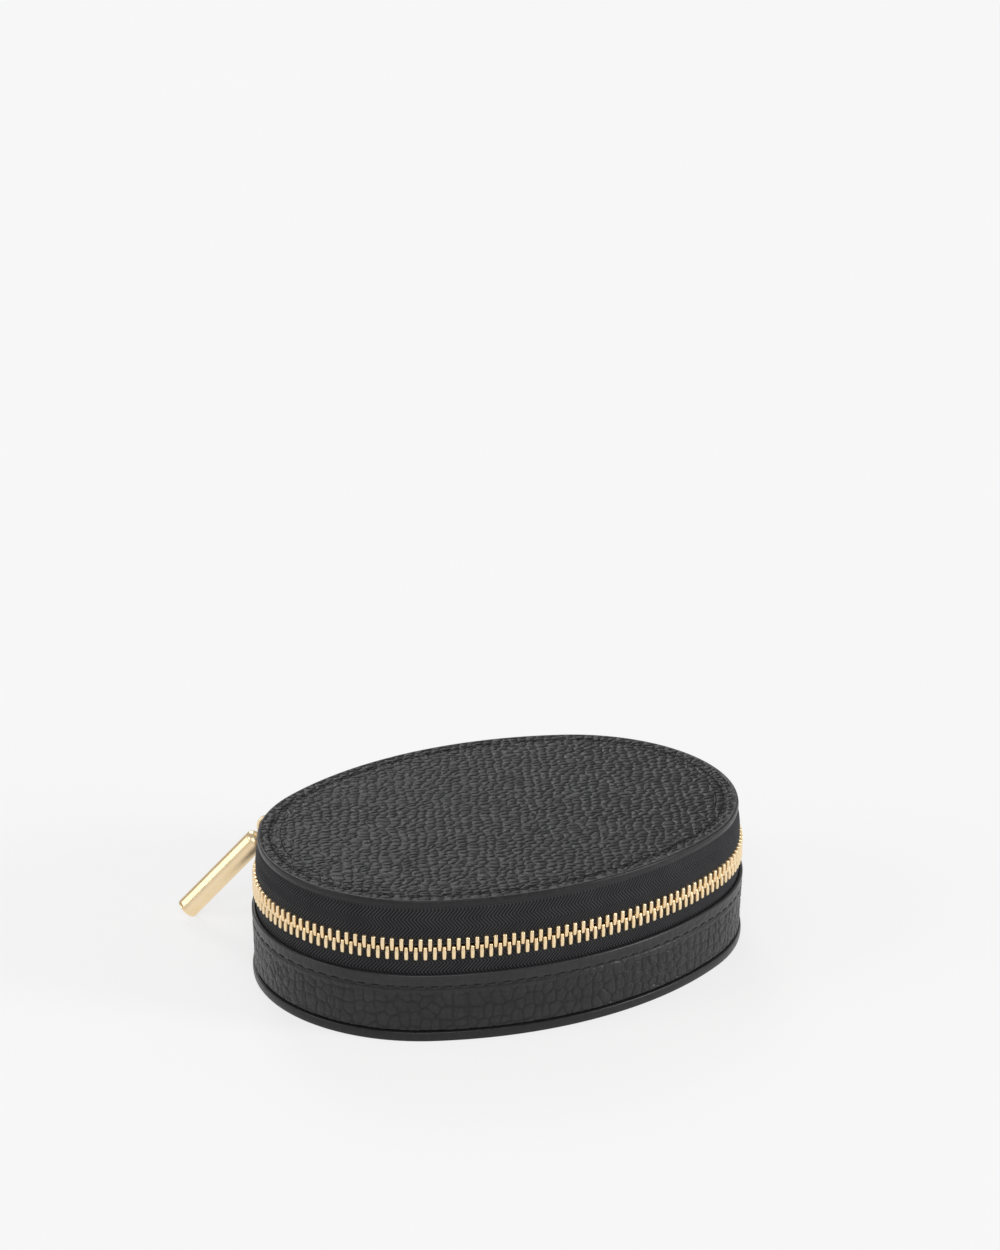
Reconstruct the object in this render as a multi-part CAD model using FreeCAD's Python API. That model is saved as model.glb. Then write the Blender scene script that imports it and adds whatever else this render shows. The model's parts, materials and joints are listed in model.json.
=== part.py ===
import FreeCAD, Part
import math
import os

# Oval zip-round coin purse: rigid leather-covered base, hinged lid, metal zip and pull bar.
# Millimetres. Origin at the centre of the base's underside, +X along the oval, +Y towards
# the hinge, +Z up. Each node is written to parts/NODE.step.

V = FreeCAD.Vector
UP = V(0, 0, 1)

# ---- driving dimensions ---------------------------------------------------------------
LID_LENGTH = 134.8          # lid outline along X
LID_WIDTH = 97.5           # lid outline along Y
END_ARC = 64.0              # half angle of each round end, degrees
HEIGHT = 38.6               # closed height

# Heights, from the underside up
BASE_PANEL = 2.6            # bottom panel thickness
LEATHER = 1.2               # thickness of the leather band
FLANGE = 1.0                # band leather skived and turned in under the base board
BOARD = 1.2                 # stiffener board
LINING = 0.6                # suede lining
WALL_TOP = 18.7             # top edge of the leather band
CHAIN_Z = 25.7              # middle of the zip chain
LID_PANEL = 2.1             # lid panel thickness
LID_UNDER = HEIGHT - LID_PANEL
BASE_FLOOR = BASE_PANEL + FLANGE + BOARD + LINING
EDGE_ROUND = 0.4
TURN_ROUND = 0.9            # where the band turns in at the bottom

# Offsets from the lid outline, outwards positive
BASE_EDGE = 1.7
WALL_OUT = 1.9
WALL_IN = WALL_OUT - LEATHER
TAPE_IN, TAPE_OUT = 0.1, 0.7
TAPE = TAPE_OUT - TAPE_IN
TAPE_MID = (TAPE_IN + TAPE_OUT) / 2
WALL_BOARD_IN = -0.8
WALL_BOARD_DROP = 0.8       # the wall's board ends this far under the band's top edge
WALL_LINING_RISE = 0.9      # the wall's lining stands this far over it
WALL_LINING_IN = WALL_BOARD_IN - LINING
LID_TAPE_IN = -0.7          # the upper tape leans in by this much under the lid
LID_BOARD_EDGE = -1.3
BASE_FLANGE_IN = -3.5
TAPE_FLANGE_IN = -5.5

# Zip
TAPE_GAP = 0.9              # from the chain's middle to each tape edge
TAPE_FOOT_Z = 9.0           # lower edge of the lower tape, hidden behind the band
LEAN_Z = 30.0               # the upper tape starts to lean in here
TOOTH_PITCH = 2.38
TOOTH_WIDTH = 1.05
TOOTH_HALF = 1.1            # half the tooth's thickness through the tape
TOOTH_FOOT = 3.0            # from the chain's middle to the tooth's foot
TOOTH_HEAD = 0.6            # how far a head passes the chain's middle
TOOTH_FIT = 0.02            # gap between tooth and tape
STOP_WIDTH = 2.0
STOP_GAP = 0.3
BOTTOM_STOP = 2.6

# Hinge at the back
HINGE_HALF = 25.0           # half width of the hinge strap
STRAP = 1.0
GLUE_GAP = 0.05
HINGE_LINING_RISE = 1.0     # foot of the hinge's lining over the band's top edge
HINGE_LINING_GAP = 0.1      # free space between it and the lid's lining

# Slider, measured out from the tape's middle
SLIDER_LENGTH = 8.2
SLIDER_HALF_HEIGHT = 4.2
SLIDER_ANGLE = 114.0        # where it parks: direction of the oval's normal
CHANNEL_HALF = 1.35         # half the space between the plates
PLATE = 1.0
SLOT_HALF = 0.75             # half the slot that the tape runs in
SLIDER_LIP = 0.9            # height of each flange
DIAMOND_LENGTH = 2.4
DIAMOND_HALF = 0.7
BAIL_HOLE = 4.94             # middle of the bail's hole
BAIL_INSIDE = 6.5
BAIL_OUTSIDE = 7.4
BAIL_LEG_IN, BAIL_LEG_OUT = 1.6, 2.4
BAIL_HALF = 0.45
BAIL_ROUND = 0.8
BAIL_SINK = 0.3             # how far the bail's feet run into the curved plate

# Pull ring and bar
RING_RADIUS = 2.9          # to the middle of the wire
WIRE_RADIUS = 0.55
RING_HEADING = 146.1        # direction that the ring stands out in, degrees from +X
RING_RISE = 37.1             # the ring's middle stands this many degrees above the bail hole
BAR_DIP = 47.76             # the bar leans down to the table
BAR_RADIUS = 3.0
BAR_TOP = 3.7               # top of the bar from the ring's middle
BAR_END = 34.39             # lower end of the bar from the ring's middle
BAR_DOME = 2.0
BAR_CHAMFER = 0.25
FLAT_WIDTH = 1.6            # milled flat along the bar
FLAT_TURN = -42.0           # the flat is turned this far from the top of the bar, to the front
LUG_RADIUS = 1.15
LUG_WIDTH = 1.2
LUG_HOLE = 0.75

# Stitches
STITCH_DEPTH = 0.35
CHANNEL_WIDTH = 0.9
THREAD_WIDTH = 0.55
THREAD_THICK = 0.3
THREAD_FIT = 0.03
LID_PITCH, LID_THREAD = 3.3, 2.4        # pitch and length of the lid's stitches
BASE_PITCH, BASE_THREAD = 3.7, 2.7      # the same for the base and the hinge
LID_STITCH_IN = -3.5
BASE_STITCH_IN = -1.6
WALL_STITCH_Z = WALL_TOP - 3.6
HINGE_STITCH_Z = 20.6


# ---- the oval: four arcs, so that every offset is exact ---------------------------------
def arc_radii():
    """End radius, end centre X, side centre Y and side radius of the lid outline."""
    half_l, half_w = LID_LENGTH / 2, LID_WIDTH / 2
    slope = math.tan(math.radians(END_ARC))
    k = half_l - half_w
    lin = 2 * k * (slope - 1)
    step = (-lin + math.sqrt(lin * lin + 8 * slope * k * k)) / (4 * slope)
    end_r = half_w - step
    end_x = half_l - end_r
    side_y = end_x * slope
    return end_r, end_x, side_y, side_y + half_w


END_R, END_X, SIDE_Y, SIDE_R = arc_radii()


def on_oval(normal, offset, z=0.0):
    """Point of the offset oval where the outward normal points at that angle."""
    a = math.radians(normal)
    n = V(math.cos(a), math.sin(a), 0)
    lean = abs((normal + 180) % 360 - 180)
    if lean <= END_ARC:
        centre, r = V(END_X, 0, 0), END_R
    elif lean >= 180 - END_ARC:
        centre, r = V(-END_X, 0, 0), END_R
    else:
        centre, r = V(0, -SIDE_Y if n.y > 0 else SIDE_Y, 0), SIDE_R
    return centre + n * (r + offset) + UP * z


def oval_wire(offset, z):
    stops = [-END_ARC, END_ARC, 180 - END_ARC, 180 + END_ARC, 360 - END_ARC]
    edges = []
    for start, end in zip(stops, stops[1:]):
        middle = on_oval((start + end) / 2, offset, z)
        arc = Part.Arc(joint_point(start, offset, z), middle, joint_point(end, offset, z))
        edges.append(arc.toShape())
    return Part.Wire(edges)


def joint_point(normal, offset, z):
    """A junction of two arcs, worked out from the end arc so that edges meet exactly."""
    a = math.radians(normal)
    side = 1 if math.cos(a) > 0 else -1
    r = END_R + offset
    return V(side * END_X + r * math.cos(a), r * math.sin(a), z)


def slab(offset, z0, z1):
    return Part.Face(oval_wire(offset, z0)).extrude(UP * (z1 - z0))


def band(inner, outer, z0, z1):
    return slab(outer, z0, z1).cut(slab(inner, z0 - 1, z1 + 1))


def leaning_band(inner, outer, z0, inner_top, outer_top, z1):
    """A band whose walls lean from one pair of offsets to another."""
    solids = []
    for low, high in ((outer, outer_top), (inner, inner_top)):
        solids.append(Part.makeLoft([oval_wire(low, z0), oval_wire(high, z1)], True, True))
    return solids[0].cut(solids[1])


def back_part(shape, half):
    """What lies within half of the centre plane, on the hinge side."""
    box = Part.makeBox(2 * half, LID_WIDTH, 2 * HEIGHT, V(-half, 0, -HEIGHT / 2))
    return shape.common(box)


def arc_length(normal):
    """Distance round the tape's middle from the back's centre, normal 90 to 450 degrees."""
    spans = ((90, 180 - END_ARC, SIDE_R), (180 - END_ARC, 180 + END_ARC, END_R),
             (180 + END_ARC, 360 - END_ARC, SIDE_R), (360 - END_ARC, 360 + END_ARC, END_R),
             (360 + END_ARC, 450, SIDE_R))
    total = 0.0
    for start, end, r in spans:
        if normal > start:
            total += math.radians(min(normal, end) - start) * (r + TAPE_MID)
    return total


PERIMETER = arc_length(450)


def normal_at(distance):
    """The normal's angle at a distance round the tape, by bisection."""
    low, high = 90.0, 450.0
    for _ in range(50):
        mid = (low + high) / 2
        if arc_length(mid) < distance:
            low = mid
        else:
            high = mid
    return (low + high) / 2


def place(shape, normal, offset, z):
    """Copy a shape made about the origin, +X outwards and +Y along the oval, to the oval."""
    copy = shape.copy()
    copy.rotate(V(0, 0, 0), UP, normal)
    copy.translate(on_oval(normal, offset, z))
    return copy


# ---- stitches ------------------------------------------------------------------------
def stitches(offset, z, pitch, length, flat, normals=(90.0, 450.0)):
    """Threads along the oval: flat ones lie on a panel, the others on the side wall."""
    if flat:
        size = V(THREAD_WIDTH, length, THREAD_THICK)
    else:
        size = V(THREAD_THICK, length, THREAD_WIDTH)
    thread = Part.makeBox(size.x, size.y, size.z, size * -0.5)
    start, end = arc_length(normals[0]), arc_length(normals[1])
    count = round((end - start) / pitch)
    step = (end - start) / count
    made = []
    for i in range(count):
        made.append(place(thread, normal_at(start + (i + 0.5) * step), offset, z))
    return Part.Compound(made)



# ---- base ------------------------------------------------------------------------------
def level_edges(shape, z):
    """The edges of a shape that lie wholly at one height."""
    return [e for e in shape.Edges if all(abs(v.Z - z) < 1e-6 for v in e.Vertexes)]


def base_panel():
    panel = slab(BASE_EDGE, 0, BASE_PANEL)
    panel = panel.makeFillet(EDGE_ROUND, level_edges(panel, 0) + level_edges(panel, BASE_PANEL))
    half = CHANNEL_WIDTH / 2
    return panel.cut(band(BASE_STITCH_IN - half, BASE_STITCH_IN + half, -1, STITCH_DEPTH))


def base_wall():
    low = BASE_PANEL
    outer = slab(WALL_OUT, low, WALL_TOP)
    outer = outer.makeFillet(TURN_ROUND, level_edges(outer, low))
    outer = outer.makeFillet(EDGE_ROUND, level_edges(outer, WALL_TOP))
    body = outer.cut(slab(WALL_IN, low + FLANGE, WALL_TOP + 1))
    body = body.cut(slab(BASE_FLANGE_IN, low - 1, WALL_TOP + 1))
    half = CHANNEL_WIDTH / 2
    return body.cut(band(WALL_OUT - STITCH_DEPTH, WALL_OUT + 1,
                         WALL_STITCH_Z - half, WALL_STITCH_Z + half))


def base_board():
    low = BASE_PANEL + FLANGE
    return slab(WALL_BOARD_IN, low, low + BOARD)


def base_lining():
    return slab(WALL_BOARD_IN, BASE_FLOOR - LINING, BASE_FLOOR)


def wall_board():
    return band(WALL_BOARD_IN, TAPE_IN, BASE_PANEL + FLANGE, WALL_TOP - WALL_BOARD_DROP)


def wall_lining():
    return band(WALL_LINING_IN, WALL_BOARD_IN, BASE_FLOOR, WALL_TOP + WALL_LINING_RISE)


# ---- lid -------------------------------------------------------------------------------
def lid_panel():
    panel = slab(0, LID_UNDER, HEIGHT)
    panel = panel.makeFillet(EDGE_ROUND, level_edges(panel, LID_UNDER) + level_edges(panel, HEIGHT))
    half = CHANNEL_WIDTH / 2
    return panel.cut(band(LID_STITCH_IN - half, LID_STITCH_IN + half,
                          HEIGHT - STITCH_DEPTH, HEIGHT + 1))


def lid_board():
    top = LID_UNDER - TAPE
    return slab(LID_BOARD_EDGE, top - BOARD, top)


def lid_lining():
    top = LID_UNDER - TAPE - BOARD
    return slab(LID_BOARD_EDGE, top - LINING, top)


# ---- zip tapes and teeth ---------------------------------------------------------------
def lower_zip_tape():
    return band(TAPE_IN, TAPE_OUT, TAPE_FOOT_Z, CHAIN_Z - TAPE_GAP)


def upper_zip_tape():
    straight = band(TAPE_IN, TAPE_OUT, CHAIN_Z + TAPE_GAP, LEAN_Z)
    leaning = leaning_band(TAPE_IN, TAPE_OUT, LEAN_Z, LID_TAPE_IN, LID_TAPE_IN + TAPE, LID_UNDER)
    flange = band(TAPE_FLANGE_IN, LID_TAPE_IN + TAPE, LID_UNDER - TAPE, LID_UNDER)
    flange = flange.common(slab(LID_TAPE_IN + TAPE / 2, 0, HEIGHT))
    return straight.fuse([leaning, flange])


def clamp(head, width):
    """A metal piece clamped over a tape edge, facing up, about the chain's middle."""
    edge = -TAPE_GAP
    grip = TAPE / 2 + TOOTH_FIT
    outline = [(-TOOTH_HALF, -TOOTH_FOOT), (-grip, -TOOTH_FOOT), (-grip, edge + TOOTH_FIT),
               (grip, edge + TOOTH_FIT), (grip, -TOOTH_FOOT), (TOOTH_HALF, -TOOTH_FOOT),
               (TOOTH_HALF, head), (-TOOTH_HALF, head)]
    pts = [V(x, -width / 2, z) for x, z in outline]
    return Part.Face(Part.makePolygon(pts + pts[:1])).extrude(V(0, width, 0))


def flipped(shape):
    copy = shape.copy()
    copy.rotate(V(0, 0, 0), V(1, 0, 0), 180)
    return copy


def strap_edge_normal():
    """The normal's angle where the tape's middle meets the strap's left edge."""
    return 90 + math.degrees(math.asin(HINGE_HALF / (SIDE_R + TAPE_MID)))


SLIDER_HALF_ANGLE = math.degrees(SLIDER_LENGTH / 2 / (END_R + TAPE_MID))
CHAIN_START = arc_length(SLIDER_ANGLE + SLIDER_HALF_ANGLE) + TOOTH_PITCH
CHAIN_END = PERIMETER - arc_length(strap_edge_normal()) - 3 * TOOTH_PITCH


def teeth(tooth, phase):
    """One row of teeth, from the parked slider round the front to the strap's other edge."""
    count = int((CHAIN_END - CHAIN_START) / TOOTH_PITCH)
    made = []
    for i in range(count):
        normal = normal_at(CHAIN_START + (i + phase) * TOOTH_PITCH)
        made.append(place(tooth, normal, TAPE_MID, CHAIN_Z))
    return Part.Compound(made)


def lower_zip_teeth():
    return teeth(clamp(TOOTH_HEAD, TOOTH_WIDTH), 0.0)


def upper_zip_teeth():
    return teeth(flipped(clamp(TOOTH_HEAD, TOOTH_WIDTH)), 0.5)


def top_stop():
    """The stop on one tape that the parked slider rests against."""
    return clamp(-TOOTH_FIT - TOOTH_HEAD / 2, STOP_WIDTH)


def stop_normal():
    """Just past the parked slider's nose, which lies beyond the round end's junction."""
    past = 180 - END_ARC - SLIDER_ANGLE + SLIDER_HALF_ANGLE
    nose = arc_length(180 - END_ARC) - math.radians(past) * (END_R + TAPE_MID)
    return normal_at(nose - STOP_WIDTH / 2 - STOP_GAP)


def lower_zip_stop():
    return place(top_stop(), stop_normal(), TAPE_MID, CHAIN_Z)


def upper_zip_stop():
    return place(flipped(top_stop()), stop_normal(), TAPE_MID, CHAIN_Z)


def bottom_stop():
    """The box that holds both tapes together at the chain's other end."""
    grip = TAPE / 2 + TOOTH_FIT
    high, thick = 2 * TOOTH_FOOT, 2 * TOOTH_HALF
    block = Part.makeBox(thick, BOTTOM_STOP, high, V(-TOOTH_HALF, -BOTTOM_STOP / 2, -TOOTH_FOOT))
    edge = TAPE_GAP - TOOTH_FIT
    for low in (-TOOTH_FOOT, edge):
        block = block.cut(Part.makeBox(2 * grip, BOTTOM_STOP, TOOTH_FOOT - edge,
                                       V(-grip, -BOTTOM_STOP / 2, low)))
    return place(block, normal_at(CHAIN_END + TOOTH_PITCH), TAPE_MID, CHAIN_Z)


# ---- hinge at the back -----------------------------------------------------------------
def hinge_strap():
    inner = TAPE_OUT + GLUE_GAP
    top = LID_UNDER - GLUE_GAP
    lean = LID_TAPE_IN - TAPE_IN
    upright = band(inner, inner + STRAP, WALL_TOP, LEAN_Z)
    leaning = leaning_band(inner, inner + STRAP, LEAN_Z, inner + lean, inner + STRAP + lean, top)
    return back_part(upright.fuse(leaning), HINGE_HALF)


def hinge_lining():
    outer = TAPE_IN - GLUE_GAP
    low = WALL_TOP + HINGE_LINING_RISE
    top = LID_UNDER - TAPE - BOARD - LINING - HINGE_LINING_GAP
    lean = LID_TAPE_IN - TAPE_IN
    upright = band(outer - LINING, outer, low, LEAN_Z)
    leaning = leaning_band(outer - LINING, outer, LEAN_Z, outer - LINING + lean, outer + lean, top)
    return back_part(upright.fuse(leaning), HINGE_HALF - 1)


# ---- slider, ring and bar ---------------------------------------------------------------
def on_travel(out):
    """A point of the parked slider, that far out from the circle that it travels on."""
    a = math.radians(SLIDER_ANGLE)
    r = END_R + TAPE_MID + out
    return V(r * math.cos(a) - END_X, r * math.sin(a), CHAIN_Z)


def slider_sector(inner, outer, z0, z1, low, high):
    """A curved block about the round end's centre; offsets from the tape's middle."""
    middle = END_R + TAPE_MID
    centre = V(-END_X, 0, CHAIN_Z + z0)
    rings = []
    for r in (middle + outer, middle + inner):
        rings.append(Part.makeCylinder(r, z1 - z0, centre, UP, high - low))
    sector = rings[0].cut(rings[1])
    sector.rotate(centre, UP, low)
    return sector


def slider_body():
    low = SLIDER_ANGLE - SLIDER_HALF_ANGLE
    high = SLIDER_ANGLE + SLIDER_HALF_ANGLE
    tall = SLIDER_HALF_HEIGHT
    outside = CHANNEL_HALF + PLATE
    blocks = []
    for a, b in ((CHANNEL_HALF, outside), (-outside, -CHANNEL_HALF)):
        blocks.append(slider_sector(a, b, -tall, tall, low, high))
    for a, b in ((SLOT_HALF, CHANNEL_HALF), (-CHANNEL_HALF, -SLOT_HALF)):
        blocks.append(slider_sector(a, b, tall - SLIDER_LIP, tall, low, high))
        blocks.append(slider_sector(a, b, -tall, SLIDER_LIP - tall, low, high))
    nose = math.degrees(DIAMOND_LENGTH / (END_R + TAPE_MID))
    blocks.append(slider_sector(-CHANNEL_HALF, CHANNEL_HALF, -DIAMOND_HALF, DIAMOND_HALF,
                                low, low + nose))
    arch = bail(outside)
    arch.rotate(V(0, 0, 0), UP, SLIDER_ANGLE)
    arch.translate(on_travel(0))
    blocks.append(arch)
    return blocks[0].fuse(blocks[1:]).removeSplitter()


def bail(foot):
    """The arch that the ring passes under, along the chain."""
    block = Part.makeBox(BAIL_OUTSIDE - foot + BAIL_SINK, 2 * BAIL_LEG_OUT, 2 * BAIL_HALF,
                         V(foot - BAIL_SINK, -BAIL_LEG_OUT, -BAIL_HALF))
    corners = [e for e in block.Edges
               if all(abs(v.X - BAIL_OUTSIDE) < 1e-6 for v in e.Vertexes)
               and abs(e.Vertexes[0].Z - e.Vertexes[-1].Z) > 1e-6]
    block = block.makeFillet(BAIL_ROUND, corners)
    hole = Part.makeBox(BAIL_INSIDE - foot, 2 * BAIL_LEG_IN, 2 * BAIL_HALF,
                        V(foot, -BAIL_LEG_IN, -BAIL_HALF))
    return block.cut(hole)


def heading():
    a = math.radians(RING_HEADING)
    return V(math.cos(a), math.sin(a), 0)


def ring_point():
    """The middle of the bail's hole, that the ring's wire passes through."""
    return on_travel(BAIL_HOLE)


def ring_centre():
    rise = math.radians(RING_RISE)
    return ring_point() + (heading() * math.cos(rise) + UP * math.sin(rise)) * RING_RADIUS


def pull_ring():
    return Part.makeTorus(RING_RADIUS, WIRE_RADIUS, ring_centre(), heading().cross(UP))


def pull_bar():
    """Made along +X from the ring's middle with the ring's plane as XZ, then turned."""
    bar = Part.makeCylinder(BAR_RADIUS, BAR_END - BAR_TOP, V(BAR_TOP, 0, 0), V(1, 0, 0))
    top = [e for e in bar.Edges if all(abs(v.X - BAR_TOP) < 1e-6 for v in e.Vertexes)]
    bar = bar.makeFillet(BAR_DOME, top)
    end = [e for e in bar.Edges if all(abs(v.X - BAR_END) < 1e-6 for v in e.Vertexes)]
    bar = bar.makeChamfer(BAR_CHAMFER, end)
    flat_z = math.sqrt(BAR_RADIUS ** 2 - (FLAT_WIDTH / 2) ** 2)
    flat = Part.makeBox(BAR_END, 2 * BAR_RADIUS, BAR_RADIUS, V(BAR_TOP, -BAR_RADIUS, flat_z))
    flat.rotate(V(0, 0, 0), V(1, 0, 0), FLAT_TURN)
    bar = bar.cut(flat)
    lug = Part.makeCylinder(LUG_RADIUS, LUG_WIDTH, V(RING_RADIUS, 0, -LUG_WIDTH / 2), UP)
    neck = Part.makeBox(LUG_RADIUS, 2 * LUG_RADIUS, LUG_WIDTH,
                        V(RING_RADIUS, -LUG_RADIUS, -LUG_WIDTH / 2))
    hole = Part.makeCylinder(LUG_HOLE, 2 * LUG_WIDTH, V(RING_RADIUS, 0, -LUG_WIDTH), UP)
    bar = bar.fuse([lug, neck]).cut(hole).removeSplitter()
    bar.rotate(V(0, 0, 0), V(0, 1, 0), BAR_DIP)
    bar.rotate(V(0, 0, 0), UP, RING_HEADING)
    bar.translate(ring_centre())
    return bar


# ---- stitching --------------------------------------------------------------------------
def base_stitching():
    z = STITCH_DEPTH - THREAD_FIT - THREAD_THICK / 2
    return stitches(BASE_STITCH_IN, z, BASE_PITCH, BASE_THREAD, True)


def wall_stitching():
    out = WALL_OUT - STITCH_DEPTH + 2 * THREAD_FIT + THREAD_THICK / 2
    return stitches(out, WALL_STITCH_Z, BASE_PITCH, BASE_THREAD, False)


def lid_stitching():
    z = HEIGHT - STITCH_DEPTH + THREAD_FIT + THREAD_THICK / 2
    return stitches(LID_STITCH_IN, z, LID_PITCH, LID_THREAD, True)


def hinge_stitching():
    out = TAPE_OUT + GLUE_GAP + STRAP + 2 * THREAD_FIT + THREAD_THICK / 2
    reach = strap_edge_normal() - 90 - 1
    made = []
    for start, end in ((90, 90 + reach), (450 - reach, 450)):
        made += stitches(out, HINGE_STITCH_Z, BASE_PITCH, BASE_THREAD, False, (start, end)).Solids
    return Part.Compound(made)


PARTS = [
    base_panel, base_wall, base_board, base_lining, wall_board, wall_lining,
    base_stitching, wall_stitching, lower_zip_tape, lower_zip_teeth, lower_zip_stop,
    bottom_stop, hinge_strap, hinge_lining, hinge_stitching,
    lid_panel, lid_board, lid_lining, lid_stitching, upper_zip_tape, upper_zip_teeth,
    upper_zip_stop, slider_body, pull_ring, pull_bar,
]

os.makedirs("parts", exist_ok=True)
for make in PARTS:
    shape = make()
    good = shape.isValid() and all(s.Volume > 0 for s in shape.Solids)
    print(f"{make.__name__:18s} solids {len(shape.Solids):4d}  volume {shape.Volume:10.2f}"
          f"  valid {good}")
    shape.exportStep(f"parts/{make.__name__}.step")

bar_foot = pull_bar().BoundBox.ZMin
print(f"perimeter {PERIMETER:.1f}  hinge Y {LID_WIDTH / 2 + TAPE_OUT:.2f}  bar foot {bar_foot:.3f}")
print(f"bail hole {ring_point()}  ring middle {ring_centre()}  end centre X {-END_X:.3f}")
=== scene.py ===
import json
import math

import bpy
import numpy as np
from mathutils import Euler, Matrix, Vector


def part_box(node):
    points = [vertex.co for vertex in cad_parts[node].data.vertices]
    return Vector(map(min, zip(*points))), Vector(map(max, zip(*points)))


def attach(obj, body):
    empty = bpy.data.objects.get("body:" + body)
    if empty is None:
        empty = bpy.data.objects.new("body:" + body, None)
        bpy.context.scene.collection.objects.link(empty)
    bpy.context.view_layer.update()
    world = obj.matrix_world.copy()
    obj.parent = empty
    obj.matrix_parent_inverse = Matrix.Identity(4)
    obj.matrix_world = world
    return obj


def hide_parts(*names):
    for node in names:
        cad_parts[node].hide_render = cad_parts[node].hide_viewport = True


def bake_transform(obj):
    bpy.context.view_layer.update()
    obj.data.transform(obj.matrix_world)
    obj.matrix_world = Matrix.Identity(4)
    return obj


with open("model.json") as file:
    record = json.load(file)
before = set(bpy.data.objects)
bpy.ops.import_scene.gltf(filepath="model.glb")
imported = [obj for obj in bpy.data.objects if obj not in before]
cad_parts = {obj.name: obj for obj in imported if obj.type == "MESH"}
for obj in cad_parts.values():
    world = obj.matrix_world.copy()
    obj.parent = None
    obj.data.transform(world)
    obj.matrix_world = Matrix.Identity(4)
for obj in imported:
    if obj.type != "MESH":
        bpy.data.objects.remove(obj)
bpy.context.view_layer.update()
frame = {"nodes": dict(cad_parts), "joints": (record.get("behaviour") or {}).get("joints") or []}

MM = 0.001


def box_mm(node):
    """Lowest and highest corner of a CAD node in millimetres."""
    low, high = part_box(node)
    return np.array(low) / MM, np.array(high) / MM


# ---- sizes in millimetres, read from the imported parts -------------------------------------
LID_LOW, LID_HIGH = box_mm("lid_panel")
WALL_HIGH = box_mm("base_wall")[1]
SOLE_HIGH = box_mm("base_panel")[1]
HALF_L, HALF_W = LID_HIGH[0], LID_HIGH[1]
HEIGHT, LID_UNDER = LID_HIGH[2], LID_LOW[2]
WALL_TOP, WALL_FOOT = WALL_HIGH[2], SOLE_HIGH[2]
WALL_OUT = WALL_HIGH[0] - HALF_L
SOLE_OUT = SOLE_HIGH[0] - HALF_L
LEATHER = 1.2
WALL_IN = WALL_OUT - LEATHER
TAPE_IN, TAPE_OUT = 0.1, 0.7
TAPE_MID = (TAPE_IN + TAPE_OUT) / 2
TAPE_GAP = 0.9
LOWER_TAPE_TOP = box_mm("lower_zip_tape")[1][2]
CHAIN_Z = LOWER_TAPE_TOP + TAPE_GAP
LEAN_Z = 30.0
LID_TAPE_IN = -0.7
LID_STITCH_IN = -3.5
SOLE_STITCH_IN = -1.6
WALL_STITCH_Z = WALL_TOP - 3.6
FLOOR_TOP = box_mm("base_lining")[1][2]
LID_LINING_LOW = box_mm("lid_lining")[0][2]
LINING = 0.6
WALL_LINING_IN = -1.4
HINGE_HALF = box_mm("hinge_strap")[1][0]
STRAP_IN = TAPE_OUT + 0.05
STRAP = 1.0
TOOTH_PITCH = 2.38
END_ARC = 64.0


# ---- the oval: four arcs, the same as the frame's ------------------------------------------
def arc_radii():
    slope = math.tan(math.radians(END_ARC))
    k = HALF_L - HALF_W
    lin = 2 * k * (slope - 1)
    step = (-lin + math.sqrt(lin * lin + 8 * slope * k * k)) / (4 * slope)
    end_r = HALF_W - step
    end_x = HALF_L - end_r
    return end_r, end_x, end_x * slope, end_x * slope + HALF_W


END_R, END_X, SIDE_Y, SIDE_R = arc_radii()


def oval(normal, offset):
    """X and Y where the offset oval's outward normal points at that many degrees."""
    normal = np.asarray(normal, float)
    lean = np.abs((normal + 180) % 360 - 180)
    a = np.radians(normal)
    c, s = np.cos(a), np.sin(a)
    cx = np.where(lean <= END_ARC, END_X, np.where(lean >= 180 - END_ARC, -END_X, 0.0))
    side = (lean > END_ARC) & (lean < 180 - END_ARC)
    cy = np.where(side, -np.sign(s) * SIDE_Y, 0.0)
    r = np.where(side, SIDE_R, END_R) + offset
    return cx + r * c, cy + r * s


def arc_table(offset):
    """Matching lists of normal and distance round the oval, from the back's centre."""
    spans = ((90, 180 - END_ARC, SIDE_R), (180 - END_ARC, 180 + END_ARC, END_R),
             (180 + END_ARC, 360 - END_ARC, SIDE_R), (360 - END_ARC, 360 + END_ARC, END_R),
             (360 + END_ARC, 450, SIDE_R))
    normals, dist = [90.0], [0.0]
    for start, end, r in spans:
        normals.append(float(end))
        dist.append(dist[-1] + math.radians(end - start) * (r + offset))
    return normals, dist


def normals_at(distance, offset=TAPE_MID):
    normals, dist = arc_table(offset)
    return np.interp(distance, dist, normals)


def distance_at(normal, offset=TAPE_MID):
    normals, dist = arc_table(offset)
    return np.interp(normal, normals, dist)


PERIMETER = arc_table(TAPE_MID)[1][-1]


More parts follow.
